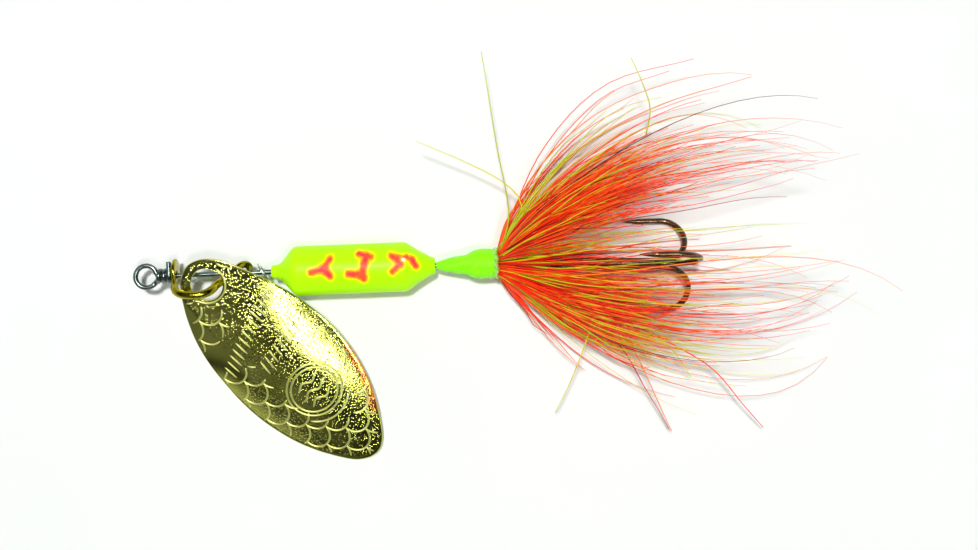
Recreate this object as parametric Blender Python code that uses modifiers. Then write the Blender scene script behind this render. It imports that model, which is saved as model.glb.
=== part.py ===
"""Inline spinner: a fishing lure with a blade that turns round a wire shaft.

The shaft lies along +X with its centre line at Y = Z = 0. The origin is the centre of the line eye,
the hook bends are at the +X end, and the lure lies on its blade tip and hook bends, with +Z up.
"""

from math import cos, pi, radians, sin

import bmesh
import bpy
from mathutils import Matrix, Vector

MM = 0.001

# Wire shaft
SHAFT_R = 0.225 * MM
TURN_GAP = 0.03 * MM
WRAP_R = 2 * SHAFT_R + TURN_GAP
WRAP_PITCH = 2 * SHAFT_R + 0.015 * MM
LINE_EYE_R = 0.97 * MM
LINE_EYE_MOUTH = radians(44)
AXIS_REACHED_X = 1.15 * MM
FRONT_WRAP_X = 1.0 * MM
FRONT_WRAP_TURN = radians(860)
TAG_END_Y = 1.25 * MM
REAR_LOOP_X = 29.95 * MM
REAR_LOOP_R = 0.6 * MM
REAR_LOOP_NECK = 0.86 * MM
REAR_WRAP_GAP = 0.14 * MM
REAR_WRAP_TURN = radians(600)
REAR_ASIDE_SHARE = 0.7
EYE_EASE = 0.25 * MM
LOOP_EASE = 0.18 * MM
COIL_EASE = 0.18 * MM

# Stirrup clevis
CLEVIS_R = 0.37 * MM
CLEVIS_ROLL = radians(50)
LUG_T = 0.32 * MM
LEFT_LUG_X = 2.55 * MM
LEFT_LUG_R = 1.25 * MM
LEFT_LUG_RISE = 0.4 * MM
LEFT_HOLE_R = 0.42 * MM
RIGHT_LUG_X = 8.5 * MM
RIGHT_LUG_R = 1.2 * MM
RIGHT_LUG_LEAN = radians(48)
RIGHT_HOLE_R = 0.55 * MM
LUG_INSET = 0.85 * MM
CUTTER_DEPTH = 3 * MM

# Blade
BLADE_T = 0.36 * MM
BLADE_HOLE_R = 1.43 * MM
BLADE_HOLE = Vector((5.60, -0.88, 1.34)) * MM
BLADE_TURN = radians(-48.3)
BLADE_DIP = radians(6.3)
BLADE_ROLL = radians(8.3)
BLADE_HEAD = 2.38 * MM
BLADE_LENGTH = 21.5 * MM
BLADE_CUP = 1.1 * MM
CUP_HALF_WIDTH = 5.45 * MM
CUP_START_S = -2.3 * MM
CUP_FULL_S = 9.0 * MM
BLADE_CAMBER = 1.3 * MM
CAMBER_START_S = 3.0 * MM
CAMBER_END_S = 21.2 * MM
HANGER = Vector((6.25, -1.80, 1.20)) * MM

# Thrust washer
WASHER_X = 10.40 * MM
WASHER_R = 0.86 * MM
WASHER_HOLE_R = 0.47 * MM
WASHER_T = 0.16 * MM
WASHER_LEAN = radians(33)
WASHER_HANG = 0.08 * MM

# Lure body
BODY_X = 18.3 * MM
BODY_R = 2.2 * MM
NOSE_R = 0.57 * MM
TAIL_R = 0.7 * MM
BODY_FRONT_X = 11.15 * MM
BODY_TAIL_X = 25.72 * MM
SHOULDER_X = 13.55 * MM
HIP_X = 23.02 * MM
BORE_R = 0.32 * MM

# Treble hook
HOOK_R = 0.265 * MM
SHANK_OFFSET = 0.325 * MM
GAPE = 4.55 * MM
HOOK_EYE_X = 30.55 * MM
HOOK_EYE_R = 0.55 * MM
HOOK_EYE_MOUTH = radians(40)
HOOK_EYE_EASE = 0.2 * MM
POINT_INSET = 0.12 * MM
POINT_SHARE = 0.12
PAIR_SHANK_X = 1.25 * MM
SINGLE_SHANK_X = 1.4 * MM
HOOK_YAW = radians(-2.3)
LEFT_HOOK = {"lean": radians(121), "bend_x": 45.93 * MM, "tip_x": 42.6 * MM}
RIGHT_HOOK = {"lean": radians(-114.5), "bend_x": 46.23 * MM, "tip_x": 43.1 * MM}
TOP_HOOK = {"lean": radians(10), "bend_x": 46.83 * MM, "tip_x": 43.4 * MM}
BRAZE_R = 0.045 * MM
BRAZE_FRONT_X = 1.1 * MM
BRAZE_REAR_X = 13.5 * MM

# Thread, lacquer and hackle
THREAD_FRONT_X = 25.82 * MM
THREAD_REAR_X = 31.05 * MM
LACQUER_X = 31.2 * MM
HACKLE_X = 31.5 * MM
HACKLE_ROOT_RING = 1.0 * MM
HACKLE_ROOT_R = 0.2 * MM
LOCK_PULL = 0.35

parts = None
cutters = None


# ---------------------------------------------------------------- helpers


def clear_scene():
    for obj in list(bpy.data.objects):
        bpy.data.objects.remove(obj, do_unlink=True)


def new_collection(name):
    collection = bpy.data.collections.new(name)
    bpy.context.scene.collection.children.link(collection)
    return collection


def material(name, colour, roughness, metallic):
    mat = bpy.data.materials.new(name)
    mat.use_nodes = True
    shader = mat.node_tree.nodes["Principled BSDF"]
    shader.inputs["Base Color"].default_value = (*colour, 1.0)
    shader.inputs["Roughness"].default_value = roughness
    shader.inputs["Metallic"].default_value = metallic
    mat.diffuse_color = (*colour, 1.0)
    return mat


def add_part(name, data, mat):
    obj = bpy.data.objects.new(name, data)
    data.materials.append(mat)
    parts.objects.link(obj)
    return obj


def make_cutter(obj):
    cutters.objects.link(obj)
    obj.hide_render = True
    obj.display_type = "WIRE"
    return obj


def ease(start, start_way, end, end_way, pull, count):
    """Points after start on a curve that leaves start along start_way and reaches end along end_way."""
    start_pull = start + start_way * pull
    end_pull = end - end_way * pull
    points = []
    for i in range(1, count + 1):
        t = i / count
        u = 1 - t
        points.append(
            start * u**3
            + start_pull * 3 * t * u**2
            + end_pull * 3 * t**2 * u
            + end * t**3
        )
    return points


def smooth_path(knots, steps):
    """A Catmull-Rom curve through knots, with steps points to each stretch."""
    first = knots[0] * 2 - knots[1]
    last = knots[-1] * 2 - knots[-2]
    extended = [first, *knots, last]
    points = [knots[0].copy()]
    for i in range(1, len(extended) - 2):
        p0, p1, p2, p3 = extended[i - 1 : i + 3]
        for k in range(1, steps + 1):
            t = k / steps
            points.append(
                (
                    p1 * 2
                    + (p2 - p0) * t
                    + (p0 * 2 - p1 * 5 + p2 * 4 - p3) * t**2
                    + (p1 * 3 - p0 - p2 * 3 + p3) * t**3
                )
                * 0.5
            )
    return points


def wire_curve(name, points, radius, tapers=None, sides=2):
    """A POLY curve with a round bevel and closed ends. tapers gives each point's share of radius."""
    curve = bpy.data.curves.new(name, "CURVE")
    curve.dimensions = "3D"
    curve.bevel_depth = radius
    curve.bevel_resolution = sides
    curve.use_fill_caps = True
    spline = curve.splines.new("POLY")
    spline.points.add(len(points) - 1)
    for i, point in enumerate(points):
        spline.points[i].co = (*point, 1.0)
        spline.points[i].radius = tapers[i] if tapers else 1.0
    return curve


def curve_to_mesh(obj):
    """The curve object's mesh with its end caps welded on, as a new data block."""
    bpy.context.view_layer.update()
    graph = bpy.context.evaluated_depsgraph_get()
    mesh = bpy.data.meshes.new_from_object(obj.evaluated_get(graph))
    bm = bmesh.new()
    bm.from_mesh(mesh)
    bmesh.ops.remove_doubles(bm, verts=bm.verts, dist=0.001 * MM)
    bmesh.ops.recalc_face_normals(bm, faces=bm.faces)
    bm.to_mesh(mesh)
    bm.free()
    return mesh


def shade_round(obj):
    obj.data.shade_smooth()
    obj.data.set_sharp_from_angle(angle=radians(35))


def turned(name, profile, mat, steps):
    """A ring turned about local +Z. profile is a closed outline of (radius, z): down outside, up inside."""
    mesh = bpy.data.meshes.new(name)
    verts = [(r, 0.0, z) for r, z in profile]
    edges = [(i, (i + 1) % len(profile)) for i in range(len(profile))]
    mesh.from_pydata(verts, edges, [])
    obj = add_part(name, mesh, mat)
    screw = obj.modifiers.new("Turn", "SCREW")
    screw.axis = "Z"
    screw.angle = 2 * pi
    screw.steps = steps
    screw.render_steps = steps
    screw.use_merge_vertices = True
    screw.merge_threshold = 0.00001 * MM
    screw.use_smooth_shade = True
    return obj


def along_shaft(obj, x, tilt=0.0):
    """Lay a turned piece's axis along +X at x, leaned by tilt towards +Y."""
    obj.rotation_euler = (
        Matrix.Rotation(tilt, 3, "Z") @ Matrix.Rotation(pi / 2, 3, "Y")
    ).to_euler()
    obj.location = (x, 0, 0)


def joint_empty(name, location):
    empty = bpy.data.objects.new(name, None)
    empty.empty_display_size = 2 * MM
    empty.location = location
    parts.objects.link(empty)
    return empty


def carry(empty, obj):
    """Parent obj to empty and keep it where it is."""
    bpy.context.view_layer.update()
    obj.parent = empty
    obj.matrix_parent_inverse = empty.matrix_world.inverted()


# ---------------------------------------------------------------- wire shaft


def helix(x, radius, start, turn, pitch, per_turn=14):
    """A coil round the shaft from angle start, turning by -turn; positive pitch runs towards +X."""
    count = round(abs(turn) / (2 * pi) * per_turn)
    points = []
    for i in range(count + 1):
        share = i / count
        angle = start - turn * share
        points.append(
            Vector(
                (
                    x + pitch * turn * share / (2 * pi),
                    radius * cos(angle),
                    radius * sin(angle),
                )
            )
        )
    return points


def line_eye_path():
    """From the straight shaft round the line eye, back across the shaft and round it to the tag end."""
    mouth = LINE_EYE_MOUTH
    on_axis = Vector((AXIS_REACHED_X, 0, 0))
    leave = Vector((cos(mouth), sin(mouth), 0)) * LINE_EYE_R
    leave_way = Vector((-sin(mouth), cos(mouth), 0))
    back = Vector((cos(mouth), -sin(mouth), 0)) * LINE_EYE_R
    back_way = Vector((sin(mouth), cos(mouth), 0))
    path = [on_axis]
    path += ease(on_axis, Vector((-1, 0, 0)), leave, leave_way, EYE_EASE, 5)
    arc = 2 * pi - 2 * mouth
    steps = 18
    for i in range(1, steps + 1):
        angle = mouth + arc * i / steps
        path.append(Vector((cos(angle), sin(angle), 0)) * LINE_EYE_R)
    coil = helix(FRONT_WRAP_X, WRAP_R, radians(230), FRONT_WRAP_TURN, WRAP_PITCH)
    down = Vector((0, 0, -1))
    path += ease(back, back_way + down, coil[0], (coil[1] - coil[0]).normalized(), COIL_EASE, 4)
    path += coil[1:]
    tag = coil[-1].copy()
    tag.y = TAG_END_Y
    path.append(tag)
    return path


def rear_loop_path():
    """From the straight shaft round the rear loop, upright in the XZ plane, and back round the shaft."""
    mouth = LINE_EYE_MOUTH
    centre = Vector((REAR_LOOP_X, 0, 0))
    on_axis = centre - Vector((REAR_LOOP_NECK, 0, 0))
    leave = centre + Vector((-cos(mouth), 0, sin(mouth))) * REAR_LOOP_R
    leave_way = Vector((sin(mouth), 0, cos(mouth)))
    back = centre + Vector((-cos(mouth), 0, -sin(mouth))) * REAR_LOOP_R
    back_way = Vector((-sin(mouth), 0, cos(mouth)))
    path = [on_axis]
    path += ease(on_axis, Vector((1, 0, 0)), leave, leave_way, LOOP_EASE, 4)
    arc = 2 * pi - 2 * mouth
    steps = 14
    for i in range(1, steps + 1):
        angle = mouth + arc * i / steps
        path.append(centre + Vector((-cos(angle), 0, sin(angle))) * REAR_LOOP_R)
    coil_x = on_axis.x + REAR_WRAP_GAP
    coil = helix(coil_x, WRAP_R, radians(-60), REAR_WRAP_TURN, -WRAP_PITCH)
    aside = Vector((0, 1, 0))
    leave_way = (back_way + aside) * REAR_ASIDE_SHARE
    path += ease(back, leave_way, coil[0], (coil[1] - coil[0]).normalized(), COIL_EASE, 4)
    path += coil[1:]
    return path


def make_shaft_wire(steel):
    path = list(reversed(rear_loop_path())) + line_eye_path()
    add_part("shaft_wire", wire_curve("shaft_wire", path, SHAFT_R), steel)


# ---------------------------------------------------------------- clevis


def clevis_frame():
    """Turns (x, distance from the shaft, 0) in the stirrup's own plane into the lure's frame."""
    out = Vector((0, -cos(CLEVIS_ROLL), sin(CLEVIS_ROLL)))
    side = Vector((1, 0, 0)).cross(out)
    return Matrix(((1, out.x, side.x), (0, out.y, side.y), (0, out.z, side.z)))


def clevis_path():
    lug_way = Vector((sin(RIGHT_LUG_LEAN), -cos(RIGHT_LUG_LEAN), 0))
    right = Vector((RIGHT_LUG_X, 0, 0))
    knots = [
        Vector((2.68, 0.70, 0)) * MM,
        Vector((2.71, 1.40, 0)) * MM,
        Vector((2.88, 2.06, 0)) * MM,
        Vector((3.38, 2.54, 0)) * MM,
        Vector((4.15, 2.76, 0)) * MM,
        Vector((5.05, 2.76, 0)) * MM,
        Vector((5.72, 2.50, 0)) * MM,
        Vector((6.14, 2.03, 0)) * MM,
        Vector((6.38, 1.52, 0)) * MM,
        Vector((6.74, 1.12, 0)) * MM,
        Vector((7.20, 0.92, 0)) * MM,
        right - lug_way * RIGHT_LUG_R,
        right - lug_way * LUG_INSET,
    ]
    return smooth_path(knots, 2)


def disc(name, radius, depth, centre, normal, sides=40):
    """A round plate, used to form and to pierce the clevis's ends."""
    bpy.ops.mesh.primitive_cylinder_add(vertices=sides, radius=radius, depth=depth)
    obj = bpy.context.object
    obj.name = name
    for collection in list(obj.users_collection):
        collection.objects.unlink(obj)
    obj.matrix_world = Matrix.Translation(centre) @ (
        Vector((0, 0, 1)).rotation_difference(normal).to_matrix().to_4x4()
    )
    return make_cutter(obj)


def make_clevis(gold):
    frame = clevis_frame()
    origin = Vector((LEFT_LUG_X, 0, 0))
    path = [frame @ p - origin for p in clevis_path()]
    tapers = [0.8, 0.84, 0.9, 0.96] + [1.0] * (len(path) - 4)
    stick = add_part("clevis_wire", wire_curve("clevis_wire", path, CLEVIS_R, tapers), gold)
    clevis = add_part("clevis", curve_to_mesh(stick), gold)
    bpy.data.objects.remove(stick, do_unlink=True)
    clevis.data.name = "clevis"
    shade_round(clevis)
    clevis.location = origin

    left = frame @ Vector((LEFT_LUG_X, -LEFT_LUG_RISE, 0))
    left_hole = Vector((LEFT_LUG_X, 0, 0))
    along = Vector((1, 0, 0))
    right = Vector((RIGHT_LUG_X, 0, 0))
    across = frame @ Vector((cos(RIGHT_LUG_LEAN), sin(RIGHT_LUG_LEAN), 0))
    forms = [
        ("UNION", disc("left_lug_form", LEFT_LUG_R, LUG_T, left, along)),
        ("UNION", disc("right_lug_form", RIGHT_LUG_R, LUG_T, right, across)),
        ("DIFFERENCE", disc("left_hole_cutter", LEFT_HOLE_R, CUTTER_DEPTH, left_hole, along, 24)),
        ("DIFFERENCE", disc("right_hole_cutter", RIGHT_HOLE_R, CUTTER_DEPTH, right, across, 24)),
    ]
    for operation, form in forms:
        boolean = clevis.modifiers.new(form.name, "BOOLEAN")
        boolean.operation = operation
        boolean.object = form
        boolean.solver = "EXACT"
    return clevis


# ---------------------------------------------------------------- blade


def blade_edge(count):
    """The blade's outline in its own plane, evenly spaced anticlockwise from the tip."""
    widths = [
        (21.3, 0.55, 1.05),
        (20.5, 1.50, 2.15),
        (18.7, 2.76, 3.40),
        (16.8, 3.78, 4.42),
        (14.8, 4.51, 5.15),
        (12.3, 5.05, 5.68),
        (9.9, 5.20, 5.82),
        (7.7, 5.04, 5.64),
        (5.4, 4.68, 5.22),
        (3.2, 4.06, 4.54),
        (1.25, 3.32, 3.66),
        (0.0, 2.78, 2.94),
        (-1.0, 2.18, 2.26),
        (-1.93, 1.25, 1.30),
    ]
    tip = (BLADE_LENGTH / MM, -0.2)
    head = (-BLADE_HEAD / MM, 0.0)
    body_side = [(s, w) for s, w, _ in widths]
    free_side = [(s, -w) for s, _, w in reversed(widths)]
    knots = [Vector((s, w, 0)) * MM for s, w in [tip, *body_side, head, *free_side, tip]]
    fine = smooth_path(knots, 12)
    lengths = [0.0]
    for a, b in zip(fine, fine[1:]):
        lengths.append(lengths[-1] + (b - a).length)
    edge = []
    k = 0
    for i in range(count):
        want = lengths[-1] * i / count
        while lengths[k + 1] < want:
            k += 1
        share = (want - lengths[k]) / (lengths[k + 1] - lengths[k])
        edge.append(fine[k].lerp(fine[k + 1], share))
    return edge


def blade_height(s, n):
    """Height of the blade's middle surface over the plane of its head: cupped across, bowed along."""
    along = min(1.0, max(0.0, (s - CUP_START_S) / (CUP_FULL_S - CUP_START_S)))
    cup = BLADE_CUP * (0.25 + 0.75 * along * along * (3 - 2 * along))
    bow = max(0.0, s - CAMBER_START_S) / (CAMBER_END_S - CAMBER_START_S)
    return -cup * (n / CUP_HALF_WIDTH) ** 2 - BLADE_CAMBER * bow**2


def blade_matrix():
    """The blade's own frame: X towards the tip, Z along the normal of its head."""
    turn = Matrix.Rotation(BLADE_TURN, 4, "Z")
    dip = Matrix.Rotation(BLADE_DIP, 4, "Y")
    roll = Matrix.Rotation(BLADE_ROLL, 4, "X")
    return Matrix.Translation(BLADE_HOLE) @ turn @ dip @ roll


def make_blade(brass):
    """An open surface between the hole and the outline, thickened; its origin is on the swing axis."""
    count, rings = 64, 6
    frame = blade_matrix()
    hanger = frame.inverted() @ HANGER
    edge = blade_edge(count)
    bm = bmesh.new()
    rows = []
    for ring in range(rings + 1):
        share = ring / rings
        row = []
        for i, outer in enumerate(edge):
            angle = 2 * pi * i / count
            inner = Vector((cos(angle), sin(angle), 0)) * BLADE_HOLE_R
            point = inner.lerp(outer, share)
            point.z = blade_height(point.x, point.y)
            row.append(bm.verts.new(point - hanger))
        rows.append(row)
    for inner, outer in zip(rows, rows[1:]):
        for i in range(count):
            j = (i + 1) % count
            bm.faces.new((inner[i], outer[i], outer[j], inner[j]))
    mesh = bpy.data.meshes.new("blade")
    bm.to_mesh(mesh)
    bm.free()
    blade = add_part("blade", mesh, brass)
    shade_round(blade)
    solid = blade.modifiers.new("Sheet", "SOLIDIFY")
    solid.thickness = BLADE_T
    solid.offset = 0.0
    blade.matrix_world = Matrix.Translation(HANGER) @ frame.to_3x3().to_4x4()
    return blade


# ---------------------------------------------------------------- washer and body


def make_washer(steel):
    half = WASHER_T / 2
    profile = [
        (WASHER_R, half),
        (WASHER_R, -half),
        (WASHER_HOLE_R, -half),
        (WASHER_HOLE_R, half),
    ]
    washer = turned("thrust_washer", profile, steel, 32)
    along_shaft(washer, WASHER_X, WASHER_LEAN)
    washer.location.y = WASHER_HANG
    carry(joint_empty("washer_spin_axis", (WASHER_X, 0, 0)), washer)


def make_body(paint):
    """A slug with a short nose, cone shoulders and a bore for the shaft."""
    tail = [(0.0, -0.12), (-0.05, 0.0), (-0.40, 0.12), (-0.88, 0.40), (-1.48, 0.74), (-2.15, 1.20)]
    tail.append((-2.45, 1.40))
    front = [(2.06, 1.55), (1.78, 1.29), (1.08, 0.43), (0.83, 0.15), (0.50, 0.03), (0.08, 0.0), (0.0, -0.07)]
    profile = [(TAIL_R + r * MM, BODY_TAIL_X + x * MM) for x, r in tail]
    profile += [(BODY_R, HIP_X), (BODY_R, SHOULDER_X)]
    profile += [(NOSE_R + r * MM, BODY_FRONT_X + x * MM) for x, r in front]
    profile += [(BORE_R, BODY_FRONT_X), (BORE_R, BODY_TAIL_X)]
    body = turned("lure_body", [(r, x - BODY_X) for r, x in profile], paint, 32)
    along_shaft(body, BODY_X)


# ---------------------------------------------------------------- treble hook


def hook_path(hook):
    """One hook from its shank's rear end round the bend to the point, in the treble's own frame."""
    way = Vector((0, sin(hook["lean"]), cos(hook["lean"])))
    bend_r = (GAPE - SHANK_OFFSET) / 2
    centre = Vector((hook["bend_x"] - HOOK_EYE_X, 0, 0)) + way * (SHANK_OFFSET + bend_r)
    path = []
    steps = 12
    for i in range(steps + 1):
        angle = pi * i / steps
        path.append(centre + Vector((sin(angle), 0, 0)) * bend_r - way * bend_r * cos(angle))
    tip = centre + way * (bend_r - POINT_INSET)
    tip.x = hook["tip_x"] - HOOK_EYE_X
    bend_end = path[-1]
    neck = bend_end.lerp(tip, 0.55)
    return [*path, neck, tip]


def point_tapers(count):
    """Full radius all along but for the last stretch, which narrows to the point."""
    return [1.0] * (count - 1) + [POINT_SHARE]


def make_hook_pair(bronze):
    """Two hooks bent from one wire, with the eye between them."""
    left = hook_path(LEFT_HOOK)
    right = hook_path(RIGHT_HOOK)
    mouth = HOOK_EYE_MOUTH
    path = list(reversed(left))
    shank = left[0].copy()
    shank.x = PAIR_SHANK_X
    on_eye = Vector((cos(mouth), sin(mouth), 0)) * HOOK_EYE_R
    eye_way = Vector((-sin(mouth), cos(mouth), 0))
    path.append(shank)
    path += ease(shank, Vector((-1, 0, 0)), on_eye, eye_way, HOOK_EYE_EASE, 4)
    arc = 2 * pi - 2 * mouth
    steps = 14
    for i in range(1, steps + 1):
        angle = mouth + arc * i / steps
        path.append(Vector((cos(angle), sin(angle), 0)) * HOOK_EYE_R)
    off_eye = path[-1]
    off_way = Vector((sin(mouth), cos(mouth), 0))
    shank = right[0].copy()
    shank.x = PAIR_SHANK_X
    path += ease(off_eye, off_way, shank, Vector((1, 0, 0)), HOOK_EYE_EASE, 4)
    path += right
    tapers = [POINT_SHARE] + [1.0] * (len(path) - 2) + [POINT_SHARE]
    return add_part("hook_pair", wire_curve("hook_pair", path, HOOK_R, tapers), bronze)


def make_hook_single(bronze):
    path = hook_path(TOP_HOOK)
    front = path[0].copy()
    front.x = SINGLE_SHANK_X
    path = [front, *path]
    curve = wire_curve("hook_single", path, HOOK_R, point_tapers(len(path)))
    return add_part("hook_single", curve, bronze)


def make_hook_braze(brass):
    """The filler drawn in between the three shanks."""
    ends = [Vector((BRAZE_FRONT_X, 0, 0)), Vector((BRAZE_REAR_X, 0, 0))]
    return add_part("hook_braze", wire_curve("hook_braze", ends, BRAZE_R), brass)


def place_treble(pieces):
    for piece in pieces:
        piece.location = (HOOK_EYE_X, 0, 0)
        piece.rotation_euler = (0, 0, HOOK_YAW)


# ---------------------------------------------------------------- thread, lacquer and hackle


def make_thread_wrap(thread):
    """The winding: a cone up from the shaft, a waist and a bulge, hollow round what it binds."""
    bulge = [(5.23, 1.02), (5.18, 1.20), (4.88, 1.33), (4.08, 1.35), (3.48, 1.29), (3.08, 1.12)]
    waist = [(2.68, 0.90), (2.18, 0.83), (1.58, 0.74), (0.78, 0.56), (0.33, 0.41), (0.0, 0.30)]
    over_wraps = [(0.0, 0.26), (0.78, 0.40), (1.48, 0.60), (1.93, 0.75), (3.08, 0.76)]
    over_eye = [(3.43, 0.97), (4.88, 0.97), (5.23, 0.80)]
    centre = (THREAD_FRONT_X + THREAD_REAR_X) / 2
    outline = bulge + waist + over_wraps + over_eye
    profile = [(r * MM, THREAD_FRONT_X + x * MM - centre) for x, r in outline]
    wrap = turned("thread_wrap", profile, thread, 28)
    along_shaft(wrap, centre)


def make_lacquer(lacquer):
    outline = [(1.22, 0.12), (1.25, 0.0), (1.18, -0.12), (0.80, -0.12), (0.80, 0.12)]
    ring = turned("lacquer_ring", [(r * MM, x * MM) for r, x in outline], lacquer, 24)
    along_shaft(ring, LACQUER_X)


# Each lock: its place round the tie (0 towards +Y, 90 up), how steeply it leaves, its tip and its girth.
HACKLE_LOCKS = [
    ("hackle_red_1", -22, 66, (54.0, 16.6, 0.5), 0.62),
    ("hackle_chartreuse_1", 4, 60, (57.5, 14.4, 3.6), 0.55),
    ("hackle_red_2", 28, 50, (59.5, 11.0, 4.6), 0.75),
    ("hackle_red_3", 54, 38, (61.0, 7.0, 6.4), 0.70),
    ("hackle_chartreuse_2", 80, 30, (62.0, 2.8, 7.4), 0.55),
    ("hackle_red_4", 106, 30, (61.0, -2.0, 7.0), 0.62),
    ("hackle_chartreuse_3", 132, 34, (62.5, -5.6, 5.6), 0.60),
    ("hackle_red_5", 156, 42, (60.5, -8.8, 3.6), 0.75),
    ("hackle_chartreuse_4", 180, 48, (58.5, -11.6, 1.8), 0.55),
    ("hackle_red_6", 206, 54, (52.5, -14.6, -0.9), 0.60),
    ("hackle_red_7", 238, 8, (56.0, -2.2, -1.75), 0.40),
    ("hackle_red_8", 302, 8, (56.0, 1.0, -1.75), 0.40),
]


def make_lock(name, around, steep, tip, girth, mat):
    """A lock of hair: it leaves the tie steeply, arches back and thins to its tips."""
    out = Vector((0, cos(radians(around)), sin(radians(around))))
    root = Vector((HACKLE_X, 0, 0)) + out * HACKLE_ROOT_RING
    end = Vector(tip) * MM
    reach = (end - root).length
    leave = Vector((cos(radians(steep)), 0, 0)) + out * sin(radians(steep))
    path = [root]
    path += ease(root, leave, end, Vector((1, 0, 0)), reach * LOCK_PULL, 9)
    full = girth * MM
    shares = [HACKLE_ROOT_R / full, 0.6, 0.85, 1.0, 1.0, 0.92, 0.78, 0.6, 0.38, 0.1]
    add_part(name, wire_curve(name, path, full, shares, sides=1), mat)


# ---------------------------------------------------------------- assembly


def main():
    global parts, cutters
    clear_scene()
    parts = new_collection("inline_spinner")
    cutters = new_collection("cutters")

    steel = material("stainless", (0.42, 0.45, 0.42), 0.25, 1.0)
    gold = material("gold_plate", (0.62, 0.55, 0.12), 0.22, 1.0)
    brass = material("blade_brass", (0.66, 0.62, 0.22), 0.2, 1.0)
    nickel = material("nickel", (0.62, 0.64, 0.62), 0.25, 1.0)
    paint = material("chartreuse_paint", (0.52, 0.98, 0.02), 0.25, 0.0)
    bronze = material("bronzed_steel", (0.09, 0.055, 0.025), 0.35, 0.9)
    filler = material("braze_filler", (0.60, 0.45, 0.18), 0.4, 1.0)
    thread = material("green_thread", (0.33, 0.95, 0.05), 0.45, 0.0)
    lacquer = material("clear_lacquer", (0.75, 0.85, 0.55), 0.12, 0.0)
    red = material("red_hair", (0.88, 0.07, 0.01), 0.5, 0.0)
    chartreuse = material("chartreuse_hair", (0.60, 0.66, 0.03), 0.5, 0.0)

    make_shaft_wire(steel)
    spin_axis = joint_empty("blade_spin_axis", (LEFT_LUG_X, 0, 0))
    carry(spin_axis, make_clevis(gold))
    carry(spin_axis, make_blade(brass))
    make_washer(nickel)
    make_body(paint)
    place_treble([make_hook_pair(bronze), make_hook_single(bronze), make_hook_braze(filler)])
    make_thread_wrap(thread)
    make_lacquer(lacquer)
    for name, *shape in HACKLE_LOCKS:
        make_lock(name, *shape, chartreuse if "chartreuse" in name else red)


main()
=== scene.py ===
"""Looks for the inline spinner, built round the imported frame.

Fine wire, an embossed blade, a painted slug, wound thread and loose hair, on a pale floor in soft light.
"""

from math import cos, pi, radians, sin

import bpy
import numpy as np
from mathutils import Matrix, Vector


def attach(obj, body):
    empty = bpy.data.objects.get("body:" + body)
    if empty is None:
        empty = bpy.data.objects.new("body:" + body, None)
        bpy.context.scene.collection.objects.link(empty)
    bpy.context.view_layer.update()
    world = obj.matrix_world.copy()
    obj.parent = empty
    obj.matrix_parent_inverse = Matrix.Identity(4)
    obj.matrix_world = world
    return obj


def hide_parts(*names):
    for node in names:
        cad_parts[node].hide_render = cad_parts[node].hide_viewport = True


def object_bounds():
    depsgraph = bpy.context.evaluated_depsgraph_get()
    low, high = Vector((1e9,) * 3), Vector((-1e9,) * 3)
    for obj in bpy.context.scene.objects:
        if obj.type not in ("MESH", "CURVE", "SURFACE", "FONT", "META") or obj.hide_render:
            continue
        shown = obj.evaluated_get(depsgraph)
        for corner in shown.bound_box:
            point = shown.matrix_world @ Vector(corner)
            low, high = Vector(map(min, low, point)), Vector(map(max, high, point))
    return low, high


MM = 0.001
X = Vector((1, 0, 0))
Y = Vector((0, 1, 0))
Z = Vector((0, 0, 1))
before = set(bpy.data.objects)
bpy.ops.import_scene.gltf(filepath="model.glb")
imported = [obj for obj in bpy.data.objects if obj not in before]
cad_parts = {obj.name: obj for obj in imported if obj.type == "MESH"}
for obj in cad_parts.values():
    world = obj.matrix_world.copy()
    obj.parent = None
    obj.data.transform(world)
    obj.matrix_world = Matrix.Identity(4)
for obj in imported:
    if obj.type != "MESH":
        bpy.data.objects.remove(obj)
cad_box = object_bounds()
FLOOR_Z = cad_box[0].z
rng = np.random.default_rng(seed=27)

# Sizes that carry MM, and every mesh, are in metres. The other sizes are in mm, and angles in radians.

# Wire shaft
SHAFT_R = 0.225 * MM
WRAP_R = 0.48 * MM
WRAP_PITCH = 0.465 * MM
LINE_EYE_R = 0.97 * MM
EYE_MOUTH = radians(44)
EYE_PULL = 0.25 * MM
BEND_PULL = 0.18 * MM
TAG_PULL = 0.2 * MM
AXIS_REACHED_X = 1.15 * MM
FRONT_WRAP_X = 1.0 * MM
FRONT_WRAP_START = radians(230)
FRONT_WRAP_TURN = radians(860)
TAG_END_Y = 1.25 * MM
REAR_LOOP_X = 29.95 * MM
REAR_LOOP_R = 0.6 * MM
REAR_LOOP_NECK = 0.86 * MM
REAR_WRAP_GAP = 0.14 * MM
REAR_WRAP_START = radians(-60)
REAR_WRAP_TURN = radians(600)

# Stirrup clevis
CLEVIS_R = 0.37 * MM
CLEVIS_ROLL = radians(50)
CLEVIS_STEPS = 14
LUG_HALF_WIDTH = 0.72 * MM
LUG_T = 0.32 * MM
LEFT_LUG_X = 2.55 * MM
LEFT_LUG_R = 1.25 * MM
LEFT_LUG_RISE = 0.4 * MM
LEFT_HOLE_R = 0.42 * MM
RIGHT_LUG_X = 8.5 * MM
RIGHT_LUG_R = 1.2 * MM
RIGHT_LUG_LEAN = radians(48)
RIGHT_LUG_FOOT = 0.85 * MM
RIGHT_HOLE_R = 0.55 * MM

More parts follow.
